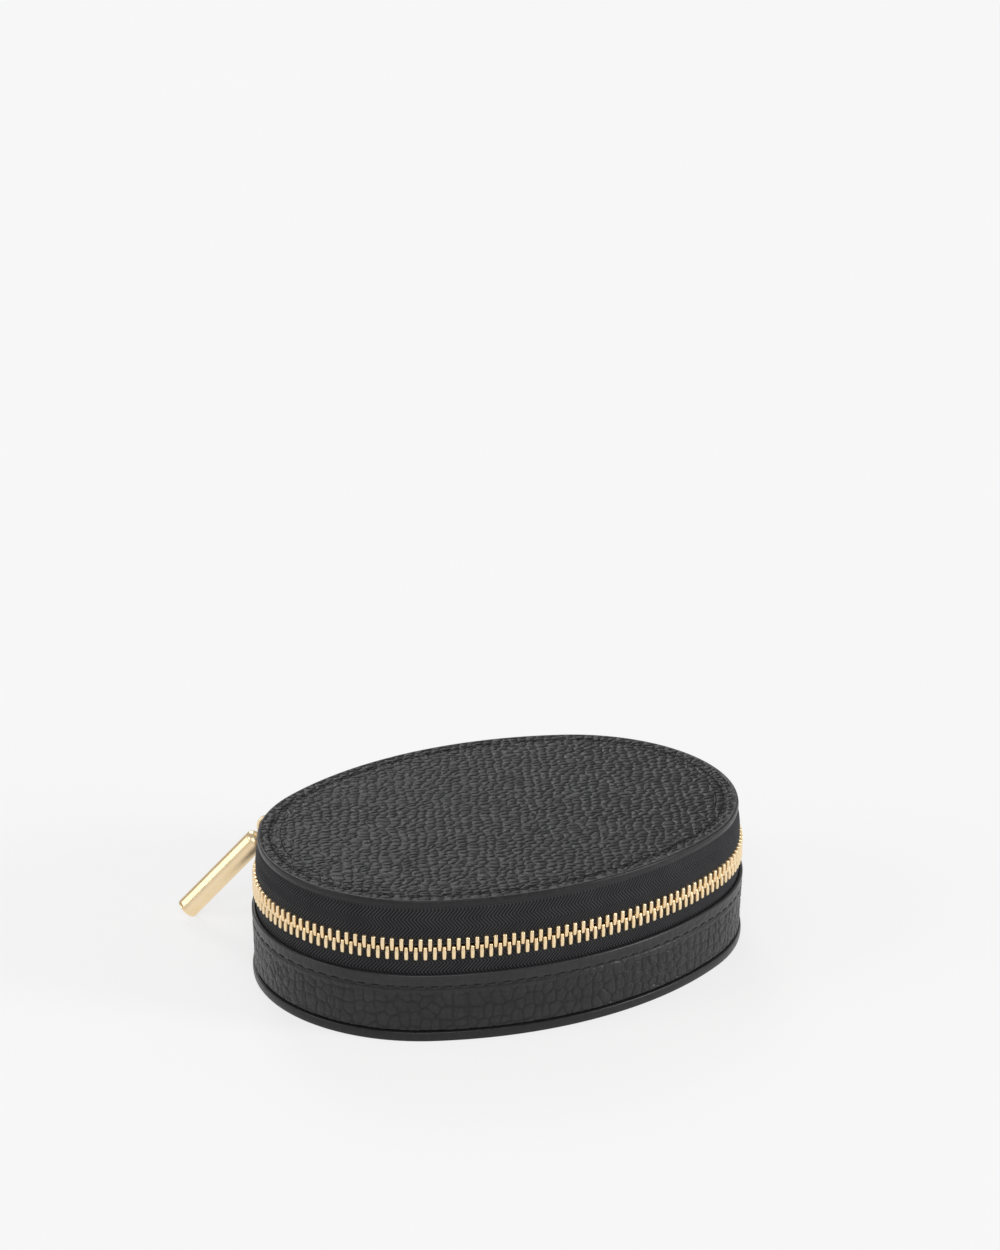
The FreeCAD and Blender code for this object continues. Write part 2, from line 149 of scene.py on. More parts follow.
# ---- mesh helpers --------------------------------------------------------------------------
def make_mesh(name, points, faces, materials, face_slots=None, smooth=True, painted_light_share=None):
    """An object from points in millimetres; the last argument is a share per point, 1 on the relief's
    tops and 0 in its dips, that the materials use for painted shade in the dips and painted highlight
    on the tops.
    """
    mesh = bpy.data.meshes.new(name)
    points = np.asarray(points, np.float64) * MM
    mesh.vertices.add(len(points))
    mesh.vertices.foreach_set("co", points.astype(np.float32).ravel())
    flat = np.concatenate([np.asarray(f, np.int32).ravel() for f in faces])
    sizes = np.concatenate([np.full(len(f), np.asarray(f).shape[1], np.int32) for f in faces])
    mesh.loops.add(len(flat))
    mesh.loops.foreach_set("vertex_index", flat)
    mesh.polygons.add(len(sizes))
    mesh.polygons.foreach_set("loop_start", np.concatenate([[0], np.cumsum(sizes)[:-1]]))
    if face_slots is not None:
        mesh.polygons.foreach_set("material_index", np.asarray(face_slots, np.int32))
    mesh.polygons.foreach_set("use_smooth", np.full(len(sizes), smooth))
    mesh.update(calc_edges=True)
    # the share is stored on the points for the materials' painted shade and painted highlight
    if painted_light_share is not None:
        mesh.attributes.new("painted_light_share", "FLOAT", "POINT").data.foreach_set("value", painted_light_share)
    mesh.validate()
    for material in materials:
        mesh.materials.append(material)
    obj = bpy.data.objects.new(name, mesh)
    bpy.context.scene.collection.objects.link(obj)
    return obj


def grid_faces(rows, cols, wrap_rows=False, wrap_cols=True, first=0, flip=False):
    """Quads of a grid of points stored row by row."""
    i = np.arange(rows if wrap_rows else rows - 1)
    j = np.arange(cols if wrap_cols else cols - 1)
    i, j = np.meshgrid(i, j, indexing="ij")
    i2, j2 = (i + 1) % rows, (j + 1) % cols
    quads = np.stack([i * cols + j, i * cols + j2, i2 * cols + j2, i2 * cols + j], -1)
    quads = quads.reshape(-1, 4) + first
    return quads[:, ::-1] if flip else quads


def add_piece(obj, body, slot, *nodes):
    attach(obj, body)
    if nodes:
        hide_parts(*nodes)
    return obj


def smoothstep(x):
    x = np.clip(x, 0, 1)
    return x * x * (3 - 2 * x)


# ---- leather grain as real relief ----------------------------------------------------------
def cells(u, v, seed, wrap=None, rows=400):
    """Distances to the two nearest of a jittered grid of points, and the nearest's own value."""
    rng = np.random.default_rng(seed)
    cols = wrap or 400
    jitter = rng.random((cols, rows, 2)) * 0.72 + 0.14
    own = rng.random((cols, rows))
    iu, iv = np.floor(u).astype(int), np.floor(v).astype(int)
    best = np.full(u.shape, 9.0)
    second = np.full(u.shape, 9.0)
    value = np.zeros(u.shape)
    for du in (-1, 0, 1):
        for dv in (-1, 0, 1):
            cu, cv = (iu + du) % cols, (iv + dv) % rows
            px = iu + du + jitter[cu, cv, 0]
            py = iv + dv + jitter[cu, cv, 1]
            d = np.hypot(u - px, v - py)
            nearer = d < best
            second = np.where(nearer, best, np.minimum(second, d))
            value = np.where(nearer, own[cu, cv], value)
            best = np.where(nearer, d, best)
    return best, second, value


def smooth_noise(u, v, seed, wrap=None):
    """Value noise from 0 to 1, smooth between whole numbers."""
    rng = np.random.default_rng(seed)
    cols = wrap or 256
    table = rng.random((cols, 256))
    iu, iv = np.floor(u).astype(int), np.floor(v).astype(int)
    fu, fv = smoothstep(u - iu), smoothstep(v - iv)
    a = table[iu % cols, iv % 256]
    b = table[(iu + 1) % cols, iv % 256]
    c = table[iu % cols, (iv + 1) % 256]
    d = table[(iu + 1) % cols, (iv + 1) % 256]
    return (a * (1 - fu) + b * fu) * (1 - fv) + (c * (1 - fu) + d * fu) * fv


def pebbles(x, y, pitch_x, pitch_y, seed, loop=None, crease=0.5):
    """Height from 0 in a crease to 1 on a pebble. loop is the length that x wraps round."""
    cols = max(4, round(loop / pitch_x)) if loop else None
    step = loop / cols if loop else pitch_x
    waves = max(2, round(loop / (pitch_x * 2.3))) if loop else None
    wave_step = loop / waves if loop else pitch_x * 2.3
    warp_u = smooth_noise(x / wave_step, y / (pitch_y * 2.3) + 40, seed + 1, waves) - 0.5
    warp_v = smooth_noise(x / wave_step, y / (pitch_y * 2.3) + 90, seed + 2, waves) - 0.5
    near, far, own = cells(x / step + warp_u * 0.55, y / pitch_y + 120 + warp_v * 0.55, seed, cols)
    edge = np.sqrt(np.clip((far - near) / crease, 0, 1))
    dome = 1 - 0.55 * np.clip(near, 0, 1) ** 2
    return edge * dome * (0.82 + 0.18 * own)


# ---- materials -----------------------------------------------------------------------------
def new_material(name, rough, base, metallic=0.0, specular=0.5, sheen=0.0, coat=0.0):
    material = bpy.data.materials.new(name)
    material.use_nodes = True
    shader = material.node_tree.nodes["Principled BSDF"]
    shader.inputs["Base Color"].default_value = (*base, 1)
    shader.inputs["Roughness"].default_value = rough
    shader.inputs["Metallic"].default_value = metallic
    shader.inputs["Specular IOR Level"].default_value = specular
    shader.inputs["Sheen Weight"].default_value = sheen
    shader.inputs["Sheen Roughness"].default_value = 0.5
    shader.inputs["Coat Weight"].default_value = coat
    shader.inputs["Coat Roughness"].default_value = 0.35
    return material


def node(material, kind, **values):
    made = material.node_tree.nodes.new(kind)
    for key, value in values.items():
        if hasattr(made, key):
            setattr(made, key, value)
        else:
            made.inputs[key.replace("_", " ")].default_value = value
    return made


def link(material, a, out, b, into):
    material.node_tree.links.new(a.outputs[out], b.inputs[into])


def noise(material, scale, detail=3.0, rough=0.55):
    coords = node(material, "ShaderNodeTexCoord")
    made = node(material, "ShaderNodeTexNoise", Scale=scale, Detail=detail, Roughness=rough)
    link(material, coords, "Object", made, "Vector")
    return made


def ramp(material, source, out, low, high, at=(0.3, 0.7)):
    made = node(material, "ShaderNodeValToRGB")
    for element, position, colour in zip(made.color_ramp.elements, at, (low, high)):
        element.position = position
        element.color = (*colour, 1)
    link(material, source, out, made, "Fac")
    return made


def range_of(material, source, out, low, high):
    made = node(material, "ShaderNodeMapRange")
    made.inputs["From Min"].default_value = 0.3
    made.inputs["From Max"].default_value = 0.7
    made.inputs["To Min"].default_value = low
    made.inputs["To Max"].default_value = high
    link(material, source, out, made, "Value")
    return made


def bump(material, source, out, strength, distance, below=None):
    made = node(material, "ShaderNodeBump")
    made.inputs["Strength"].default_value = strength
    made.inputs["Distance"].default_value = distance
    link(material, source, out, made, "Height")
    if below is not None:
        link(material, below, "Normal", made, "Normal")
    return made


def finish_material(material, colour=None, rough=None, normal=None):
    shader = material.node_tree.nodes["Principled BSDF"]
    if colour is not None:
        link(material, colour, 0, shader, "Base Color")
    if rough is not None:
        link(material, rough, "Result", shader, "Roughness")
    if normal is not None:
        link(material, normal, "Normal", shader, "Normal")
    return material


def paint_relief_light(material, colour, low, high):
    """Painted shade and highlight: multiply a colour by the relief's share, from low in the dips
    (painted shade) to high on the tops (painted highlight).
    """
    painted_light_share = node(material, "ShaderNodeAttribute")
    painted_light_share.attribute_name = "painted_light_share"
    share = node(material, "ShaderNodeMapRange")
    share.inputs["To Min"].default_value = low
    share.inputs["To Max"].default_value = high
    link(material, painted_light_share, "Fac", share, "Value")
    tinted = node(material, "ShaderNodeVectorMath")
    tinted.operation = "SCALE"
    link(material, colour, "Color", tinted, "Vector")
    link(material, share, "Result", tinted, "Scale")
    return tinted


def leather_material(name, dark, light, rough_low, rough_high, specular):
    """Black calf leather: pores, fine wrinkles, a little uneven dye, and painted shade in the relief's
    dips with painted highlight on its tops.
    """
    material = new_material(name, 0.5, dark, specular=specular, coat=0.03)
    patches = noise(material, 90.0, 4.0)
    pores = noise(material, 5200.0, 2.0, 0.6)
    wrinkles = node(material, "ShaderNodeTexVoronoi", Scale=2100.0)
    wrinkles.feature = "DISTANCE_TO_EDGE"
    coords = node(material, "ShaderNodeTexCoord")
    link(material, coords, "Object", wrinkles, "Vector")
    first = bump(material, wrinkles, "Distance", 0.16, 0.0001)
    second = bump(material, pores, "Fac", 0.22, 0.00006, first)
    # the dye's colour is scaled from 0.15 times in the relief's dips to 1.5 times on its tops: painted
    # shade and painted highlight
    tint = paint_relief_light(material, ramp(material, patches, "Fac", dark, light), 0.15, 1.5)
    return finish_material(material, tint, range_of(material, pores, "Fac", rough_low, rough_high),
                           second)


def paint_material():
    """Painted leather edge: smooth, slightly wavy and a little glossier than the leather."""
    material = new_material("edge_paint", 0.35, (0.008, 0.008, 0.009), specular=0.3, coat=0.06)
    waves = noise(material, 700.0, 2.0)
    tint = ramp(material, waves, "Fac", (0.006, 0.006, 0.007), (0.011, 0.011, 0.012))
    return finish_material(material, tint, range_of(material, waves, "Fac", 0.3, 0.44),
                           bump(material, waves, "Fac", 0.2, 0.00015))


def thread_material():
    material = new_material("bonded_thread", 0.6, (0.007, 0.007, 0.008), specular=0.35, sheen=0.1)
    fibres = noise(material, 9000.0, 2.0)
    tint = ramp(material, fibres, "Fac", (0.004, 0.004, 0.005), (0.012, 0.012, 0.013))
    return finish_material(material, tint, range_of(material, fibres, "Fac", 0.5, 0.72),
                           bump(material, fibres, "Fac", 0.4, 0.00005))


def tape_material():
    material = new_material("woven_tape", 0.75, (0.008, 0.008, 0.009), specular=0.12, sheen=0.03)
    yarn = noise(material, 6500.0, 3.0)
    patches = noise(material, 160.0, 2.0)
    cloth = ramp(material, patches, "Fac", (0.010, 0.010, 0.011), (0.013, 0.013, 0.014))
    # the cloth's colour is scaled from black in the weave's dips to four times on the ribs' tops:
    # painted shade and painted highlight
    tint = paint_relief_light(material, cloth, 0.0, 4.0)
    return finish_material(material, tint, range_of(material, yarn, "Fac", 0.46, 0.66),
                           bump(material, yarn, "Fac", 0.45, 0.00006))


def suede_material():
    material = new_material("suede_lining", 0.9, (0.02, 0.019, 0.019), specular=0.2, sheen=0.45)
    nap = noise(material, 3800.0, 4.0, 0.7)
    strokes = noise(material, 60.0, 3.0)
    tint = ramp(material, strokes, "Fac", (0.016, 0.0155, 0.015), (0.032, 0.031, 0.03))
    return finish_material(material, tint, range_of(material, nap, "Fac", 0.82, 0.97),
                           bump(material, nap, "Fac", 0.5, 0.00012))


def board_material():
    material = new_material("fibre_board", 0.85, (0.16, 0.14, 0.12), specular=0.3)
    fibres = noise(material, 1500.0, 5.0, 0.7)
    tint = ramp(material, fibres, "Fac", (0.11, 0.095, 0.08), (0.2, 0.18, 0.155))
    return finish_material(material, tint, range_of(material, fibres, "Fac", 0.75, 0.92),
                           bump(material, fibres, "Fac", 0.4, 0.0001))


def gold_material(name="champagne_gold", rough=(0.33, 0.37)):
    """Polished light gold plate with soft changes of tone and polish."""
    material = new_material(name, 0.25, (0.86, 0.66, 0.4), metallic=1.0)
    tone = noise(material, 160.0, 1.0)
    polish = noise(material, 260.0, 1.0)
    tint = ramp(material, tone, "Fac", (0.92, 0.72, 0.44), (0.95, 0.76, 0.50))
    return finish_material(material, tint, range_of(material, polish, "Fac", *rough))


def floor_material():
    """A pale photo table, partly lit from below so that shadows stay light."""
    material = new_material("pale_floor", 0.9, (0.24, 0.24, 0.24), specular=0.0)
    shader = material.node_tree.nodes["Principled BSDF"]
    shader.inputs["Emission Color"].default_value = (1, 1, 1, 1)
    shader.inputs["Emission Strength"].default_value = 0.7
    grain = noise(material, 3.0, 2.0)
    tint = ramp(material, grain, "Fac", (0.236, 0.236, 0.236), (0.244, 0.244, 0.244))
    return finish_material(material, tint)


LID_SKIN = leather_material("lid_leather",
                            (0.0045, 0.0045, 0.005), (0.007, 0.007, 0.0075), 0.36, 0.5, 0.27)
WALL_SKIN = leather_material("wall_leather",
                             (0.008, 0.008, 0.009), (0.013, 0.013, 0.014), 0.3, 0.44, 0.36)
PAINT = paint_material()
THREAD = thread_material()
TAPE_CLOTH = tape_material()
SUEDE = suede_material()
FIBRE_BOARD = board_material()
GOLD = gold_material()
GOLD_TEETH = gold_material("tooth_gold", (0.26, 0.4))


# ---- discs: a square grid mapped to a disc, scaled out to the oval ---------------------------
def disc_grid(n):
    """Polar radius 0 to 1 and turn 0 to 1 of an (n + 1) squared grid mapped to a disc."""
    line = np.linspace(-1, 1, n + 1)
    a, b = np.meshgrid(line, line, indexing="ij")
    wide = np.abs(a) >= np.abs(b)
    r = np.where(wide, np.abs(a), np.abs(b))
    safe_a, safe_b = np.where(a == 0, 1e-12, a), np.where(b == 0, 1e-12, b)
    angle = np.where(wide, np.pi / 4 * (b / safe_a) + np.where(a < 0, np.pi, 0),
                     np.pi / 2 - np.pi / 4 * (a / safe_b) + np.where(b < 0, np.pi, 0))
    return r, (angle / (2 * np.pi)) % 1.0


def disc_border(n):
    """Indices of the grid's edge, in the order of the turn, from turn 1/8 less."""
    size = n + 1
    right = [n * size + j for j in range(0, n)]
    top = [i * size + n for i in range(n, 0, -1)]
    left = [j for j in range(n, 0, -1)]
    bottom = [i * size for i in range(0, n)]
    return np.array(right + top + left + bottom)


def oval_turn(turn, offset):
    """Points of the oval by share of its length, from the middle of the right end."""
    length = PERIMETER
    start = distance_at(360.0)
    normal = normals_at((start + np.asarray(turn) * length) % length)
    return oval(normal, offset)


def painted_light_share_of(lift, depth=0.3):
    """The relief's share for the materials' painted shade and highlight: 1 at the surface's own height,
    0 this far under it.
    """
    return np.clip(1 - np.abs(lift) / depth, 0, 1)


def panel(name, n, rings, relief, materials, up=1):
    """A closed leather or suede panel: a disc of n by n quads, then rings out and round its edge.

    rings are (offset, z, how much of the relief, material); the first one bounds the disc.
    """
    inset = rings[0][0]
    r, turn = disc_grid(n)
    bx, by = oval_turn(turn, inset)
    x, y = (bx * r).ravel(), (by * r).ravel()
    inner = inset - HALF_W * (1 - r.ravel())
    lift = relief(x, y, inner)
    points = [np.stack([x, y, rings[0][1] + rings[0][2] * lift], 1)]
    painted_light_shares = [painted_light_share_of(lift)]
    border = disc_border(n)
    turns = turn.ravel()[border]
    faces = [grid_faces(n + 1, n + 1, wrap_cols=False, flip=up < 0)]
    slots = [np.full(len(faces[0]), rings[0][3])]
    order = np.arange(len(border))
    after = (order + 1) % len(border)
    previous = border
    first = (n + 1) ** 2
    for offset, z, weight, paint in rings[1:]:
        rx, ry = oval_turn(turns, offset)
        lift = relief(rx, ry, np.full(len(rx), offset)) if weight else 0 * rx
        points.append(np.stack([rx, ry, z + weight * lift], 1))
        painted_light_shares.append(painted_light_share_of(lift))
        quads = np.stack([previous, first + order, first + after, previous[after]], 1)
        faces.append(quads if up > 0 else quads[:, ::-1])
        slots.append(np.full(len(quads), paint))
        previous = first + order
        first += len(border)
    points.append(np.array([[0, 0, rings[-1][1]]]))
    painted_light_shares.append(np.ones(1))
    fan = np.stack([previous, np.full(len(border), first), previous[after]], 1)
    faces.append(fan if up > 0 else fan[:, ::-1])
    slots.append(np.full(len(fan), rings[-1][3]))
    return make_mesh(name, np.concatenate(points), faces, materials, np.concatenate(slots),
                     painted_light_share=np.concatenate(painted_light_shares))


def edge_roll(out, top, bottom, radius, bulge, paint, steps=5):
    """Rings down a panel's rounded, painted edge, from its face to its back."""
    turn = [math.pi / 2 * i / steps for i in range(steps + 1)]
    side = 1 if top > bottom else -1
    upper = [(out - radius * (1 - math.sin(a)), top - side * radius * (1 - math.cos(a)), 0, paint)
             for a in turn]
    middle = [(out + bulge, top + (bottom - top) * share, 0, paint) for share in (0.4, 0.6)]
    lower = [(out - radius * (1 - math.cos(a)), bottom + side * radius * (1 - math.sin(a)), 0, paint)
             for a in turn]
    return upper + middle + lower


def trough(distance, half, depth):
    """A stitch channel's rounded dip."""
    return -depth * np.exp(-1.6 * (distance / half) ** 2)


# ---- lid panel -----------------------------------------------------------------------------
LID_DISC = 560
EDGE_ZONE = 6.0             # width of the finely ringed edge
EDGE_RINGS = 24
EDGE_RADIUS = 0.4
HIDE_TURN = math.radians(-28)


def across_view(x, y):
    """Coordinates along and across the hide's stretch, which runs askew of the oval."""
    c, s = math.cos(HIDE_TURN), math.sin(HIDE_TURN)
    return c * x + s * y, c * y - s * x


def lid_relief(x, y, offset):
    grain = (pebbles(*across_view(x, y), 2.5, 2.0, 11) - 1) * 0.34 * smoothstep((-offset - 0.4) / 0.9)
    return grain + trough(offset - LID_STITCH_IN, 0.75, 0.32)


def face_rings(z, out=0.0):
    """Rings over a panel's face from the disc's border to the edge's roll."""
    start, end = out - EDGE_ZONE, out - EDGE_RADIUS - 0.05
    return [(start + (end - start) * i / EDGE_RINGS, z, 1, 0) for i in range(EDGE_RINGS + 1)]


def make_lid_panel():
    back = [(-2.5, LID_UNDER, 0, 0), (-EDGE_ZONE, LID_UNDER, 0, 0)]
    rings = face_rings(HEIGHT)
    rings += edge_roll(0.0, HEIGHT, LID_UNDER, EDGE_RADIUS, 0.1, 1) + back
    obj = panel("lid_leather_panel", LID_DISC, rings, lid_relief, [LID_SKIN, PAINT])
    add_piece(obj, "lid", "panel_leather", "lid_panel")


# ---- base panel ----------------------------------------------------------------------------
SOLE_DISC = 220


def sole_relief(x, y, offset):
    grain = (1 - pebbles(x, y, 2.4, 1.9, 23)) * 0.1 * smoothstep((SOLE_OUT - offset - 0.6) / 1.4)
    return grain - trough(offset - SOLE_STITCH_IN, 0.75, 0.32)


def make_base_panel():
    back = [(-2.5, WALL_FOOT, 0, 0), (-EDGE_ZONE, WALL_FOOT, 0, 0)]
    rings = face_rings(0.0, SOLE_OUT)
    rings += edge_roll(SOLE_OUT, 0.0, WALL_FOOT, EDGE_RADIUS, 0.08, 1) + back
    obj = panel("base_leather_panel", SOLE_DISC, rings, sole_relief, [WALL_SKIN, PAINT], up=-1)
    add_piece(obj, "base", "panel_leather", "base_panel")


# ---- bands that go round the oval -----------------------------------------------------------
def loop_piece(name, profile, cols, relief, materials, depth=0.3):
    """A closed band. profile rows are (offset, z, relief out, relief up); it wraps round."""
    share = np.arange(cols) / cols
    along = share * PERIMETER
    normal = normals_at(along)
    a = np.radians(normal)
    rows, painted_light_shares = [], []
    for offset, z, out, rise in profile:
        height = relief(along, np.full(cols, z), offset) if out or rise else np.zeros(cols)
        painted_light_shares.append(painted_light_share_of(height, depth))
        x, y = oval(normal, offset + out * height)
        rows.append(np.stack([x, y, z + rise * height + 0 * a], 1))
    faces = grid_faces(len(profile), cols, wrap_rows=True)
    return make_mesh(name, np.concatenate(rows), [faces], materials, painted_light_share=np.concatenate(painted_light_shares))


def arc_points(offset, z, radius, start, end, steps):
    """Profile points of an arc about (offset, z), angles in degrees from outwards to up."""
    turn = [math.radians(start + (end - start) * i / steps) for i in range(steps + 1)]
    return [(offset + radius * math.cos(a), z + radius * math.sin(a)) for a in turn]


def straight(start, end, step):
    """Profile points from start up to but not including end."""
    n = max(1, round(math.hypot(end[0] - start[0], end[1] - start[1]) / step))
    return [(start[0] + (end[0] - start[0]) * i / n, start[1] + (end[1] - start[1]) * i / n)
            for i in range(n)]


# ---- base wall -----------------------------------------------------------------------------
WALL_COLUMNS = 1320
WALL_GRAIN = 0.52
FOLD = 0.5
TURN = 0.9


def wall_relief(along, z, offset):
    loop = PERIMETER
    coarse = pebbles(along, z, 2.9, 3.4, 31, loop, 0.26)
    fine = pebbles(along, z, 1.5, 1.9, 37, loop, 0.3)
    hem = smoothstep((WALL_STITCH_Z - 0.6 - z) / 1.6)
    grain = (0.68 * coarse + 0.32 * fine - 1) * WALL_GRAIN * (0.3 + 0.7 * hem)
    sag = 0.12 * (smooth_noise(along / loop * 24, z / 9, 5, 24) - 0.5)
    return grain + trough(z - WALL_STITCH_Z, 0.7, 0.3) + sag * hem


def wall_slope(z):
    """The band leans in by this much towards its foot."""
    return WALL_OUT - 0.08 - 0.45 * (WALL_TOP - z) / (WALL_TOP - WALL_FOOT)


def make_base_wall():
    outer_low = WALL_FOOT + TURN
    face_top = WALL_TOP - FOLD
    foot_out = wall_slope(outer_low)
    side = straight((foot_out, outer_low), (wall_slope(face_top), face_top), 0.3)
    roll = arc_points(wall_slope(face_top) - FOLD, face_top, FOLD, 0, 90, 4)
    back = arc_points(WALL_IN + FOLD * 0.6, WALL_TOP - FOLD * 0.6, FOLD * 0.6, 90, 180, 3)
    turn = arc_points(foot_out - TURN, outer_low, TURN, -90, 0, 5)[:-1]
    profile = [(o, z, 0.35, 0) for o, z in turn] + [(o, z, 1, 0) for o, z in side]
    profile += [(o, z, 0.3, 0.1) for o, z in roll[:2]] + [(o, z, 0, 0) for o, z in roll[2:] + back]
    profile += [(WALL_IN, WALL_FOOT + 1.0, 0, 0), (-3.5, WALL_FOOT + 1.0, 0, 0),
                (-3.5, WALL_FOOT + 0.02, 0, 0)]
    obj = loop_piece("wall_leather_band", profile, WALL_COLUMNS, wall_relief, [WALL_SKIN])
    add_piece(obj, "base", "pebbled_leather", "base_wall")


# ---- woven zip tapes -----------------------------------------------------------------------
TAPE_COLUMNS = 2400
TAPE_STEP = 0.17
RIB = 0.95                  # length of one rib of the weave along the tape
BAND = 2.4                  # height of one band of the herringbone
WEAVE = 0.22


def weave(along, z, offset):
    """Herringbone: slanting ribs that change direction from band to band, each rib of short picks."""
    ribs = round(PERIMETER / RIB)
    phase = along / PERIMETER * ribs
    zig = np.abs(((z / BAND) % 2) - 1) * BAND / RIB * 0.9
    wave = 0.5 + 0.5 * np.cos(2 * np.pi * (phase + zig))
    picks = 0.5 + 0.5 * np.cos(2 * np.pi * (phase - zig * 2.2))
    return (wave * (0.65 + 0.35 * picks) - 1) * WEAVE


def make_lower_tape():
    low, high = WALL_TOP - 4.0, LOWER_TAPE_TOP
    bead = 0.32
    outer = straight((TAPE_OUT, low), (TAPE_OUT, high - bead), TAPE_STEP)
    roll = arc_points(TAPE_MID, high - bead, TAPE_OUT - TAPE_MID, 0, 180, 6)
    inner = straight((TAPE_IN, high - bead), (TAPE_IN, low), 1.2)[1:]
    profile = [(o, z, 1, 0) for o, z in outer] + [(o, z, 0, 0) for o, z in roll + inner]
    profile += [(TAPE_IN, low, 0, 0)]
    obj = loop_piece("lower_woven_tape", profile, TAPE_COLUMNS, weave, [TAPE_CLOTH], WEAVE)
    add_piece(obj, "base", "zip_tape", "lower_zip_tape")


def make_upper_tape():
    low, high = CHAIN_Z + TAPE_GAP, LID_UNDER - 0.02
    bead = 0.32
    top_out = LID_TAPE_IN + TAPE_OUT - TAPE_IN
    roll = arc_points(TAPE_MID, low + bead, TAPE_OUT - TAPE_MID, 180, 360, 6)
    upright = straight((TAPE_OUT, low + bead), (TAPE_OUT, LEAN_Z), TAPE_STEP)[1:]
    lean = straight((TAPE_OUT, LEAN_Z), (top_out, high), TAPE_STEP)
    bulge = [(o + 0.22 * math.sin(math.pi * min(1, (z - LEAN_Z) / (high - LEAN_Z))), z)
             for o, z in lean]
    inner = [(-5.5, high), (-5.5, high - 0.6), (LID_TAPE_IN - 0.1, high - 0.6), (TAPE_IN, LEAN_Z)]
    profile = [(o, z, 0, 0) for o, z in roll] + [(o, z, 1, 0) for o, z in upright + bulge]
    profile += [(top_out, high, 0, 0)] + [(o, z, 0, 0) for o, z in inner]
    obj = loop_piece("upper_woven_tape", profile, TAPE_COLUMNS, weave, [TAPE_CLOTH], WEAVE)
    add_piece(obj, "lid", "zip_tape", "upper_zip_tape")


# ---- things repeated along the oval ----------------------------------------------------------
def repeated(name, shape, quads, normals, offset, z, material, vary=None):
    """Copies of a small mesh, +X outwards and +Y along the oval, joined in one object."""
    normals = np.asarray(normals)
    a = np.radians(normals)
    x0, y0 = oval(normals, offset)
    c, s = np.cos(a)[:, None], np.sin(a)[:, None]
    sx, sy, sz = shape[:, 0][None], shape[:, 1][None], shape[:, 2][None]
    if vary is not None:
        sy = sy + vary[:, None]
    x = x0[:, None] + c * sx - s * sy
    y = y0[:, None] + s * sx + c * sy
    points = np.stack([x, y, z + sz + 0 * x], -1).reshape(-1, 3)
    shift = (np.arange(len(normals)) * len(shape))[:, None]
    faces = [(np.asarray(q)[None] + shift[..., None]).reshape(-1, np.asarray(q).shape[1])
             for q in quads]
    return make_mesh(name, points, faces, [material])


def tube_faces(rows, cols):
    """Quads of a tube of rows rings, closed by a cap at each end."""
    return [grid_faces(rows, cols), np.arange(cols)[::-1][None],
            (np.arange(cols) + (rows - 1) * cols)[None]]


THREAD_RINGS = 15
THREAD_SIDES = 8


def thread_shape(length, flat):
    """One stitch along +Y, crowned, its ends dipping into their holes; out is +X or up is +Z."""
    t = np.linspace(-1, 1, THREAD_RINGS)[:, None]
    turn = np.arange(THREAD_SIDES)[None] * 2 * np.pi / THREAD_SIDES
    thick = 0.27 * np.sqrt(np.clip(1 - np.abs(t) ** 7, 0.05, 1))
    ply = 1 + 0.14 * np.cos(2 * turn + t * 7.5)
    lift = 0.02 - 0.3 * np.abs(t) ** 4
    up = lift + 0.8 * thick * ply * np.sin(turn)
    side = thick * ply * np.cos(turn)
    along = t * length / 2 + 0 * turn
    axes = [side, along, up] if flat else [up, along, -side]
    return np.stack([v.ravel() for v in axes], 1)


def stitch_row(name, body, slot, cad, offset, z, pitch, length, flat, span=(90.0, 450.0), seed=3):
    start, end = distance_at(span[0]), distance_at(span[1])
    count = round((end - start) / pitch)
    places = start + (np.arange(count) + 0.5) * (end - start) / count
    wander = np.random.default_rng(seed).uniform(-0.08, 0.08, count)
    obj = repeated(name, thread_shape(length, flat), tube_faces(THREAD_RINGS, THREAD_SIDES),
                   normals_at(places), offset, z, THREAD, wander)
    add_piece(obj, body, slot, *cad)


# ---- zip teeth ------------------------------------------------------------------------------
TOOTH_SIDES = 16


def tooth_shape(up):
    """A die-cast tooth: rounded foot, flat leg, and a narrower head."""
    levels = [(-3.0, 0.30, 0.72), (-2.9, 0.44, 0.94), (-2.7, 0.52, 1.06), (-2.4, 0.54, 1.1),
              (-1.3, 0.55, 1.12), (-0.9, 0.54, 1.12), (-0.55, 0.5, 1.04), (-0.2, 0.47, 0.95),
              (0.2, 0.47, 0.92), (0.42, 0.44, 0.86), (0.56, 0.34, 0.7), (0.62, 0.2, 0.5)]
    turn = (np.arange(TOOTH_SIDES) + 0.5) * 2 * np.pi / TOOTH_SIDES
    c, s = np.cos(turn), np.sin(turn)
    power = 0.42
    ring_x = np.sign(c) * np.abs(c) ** power
    ring_y = np.sign(s) * np.abs(s) ** power
    rows = [np.stack([ring_x * thick, ring_y * half, np.full(TOOTH_SIDES, level)], 1)
            for level, half, thick in levels]
    shape = np.concatenate(rows)
    quads = tube_faces(len(levels), TOOTH_SIDES)
    if not up:
        shape = shape * np.array([1, -1, -1])
    return shape, quads


def strap_edge():
    return 90 + math.degrees(math.asin(HINGE_HALF / (SIDE_R + TAPE_MID)))


SLIDER_ANGLE = 114.0
SLIDER_LENGTH = 8.2
SLIDER_HALF_ANGLE = math.degrees(SLIDER_LENGTH / 2 / (END_R + TAPE_MID))
CHAIN_START = distance_at(SLIDER_ANGLE + SLIDER_HALF_ANGLE) + TOOTH_PITCH
CHAIN_END = PERIMETER - distance_at(strap_edge()) - 3 * TOOTH_PITCH


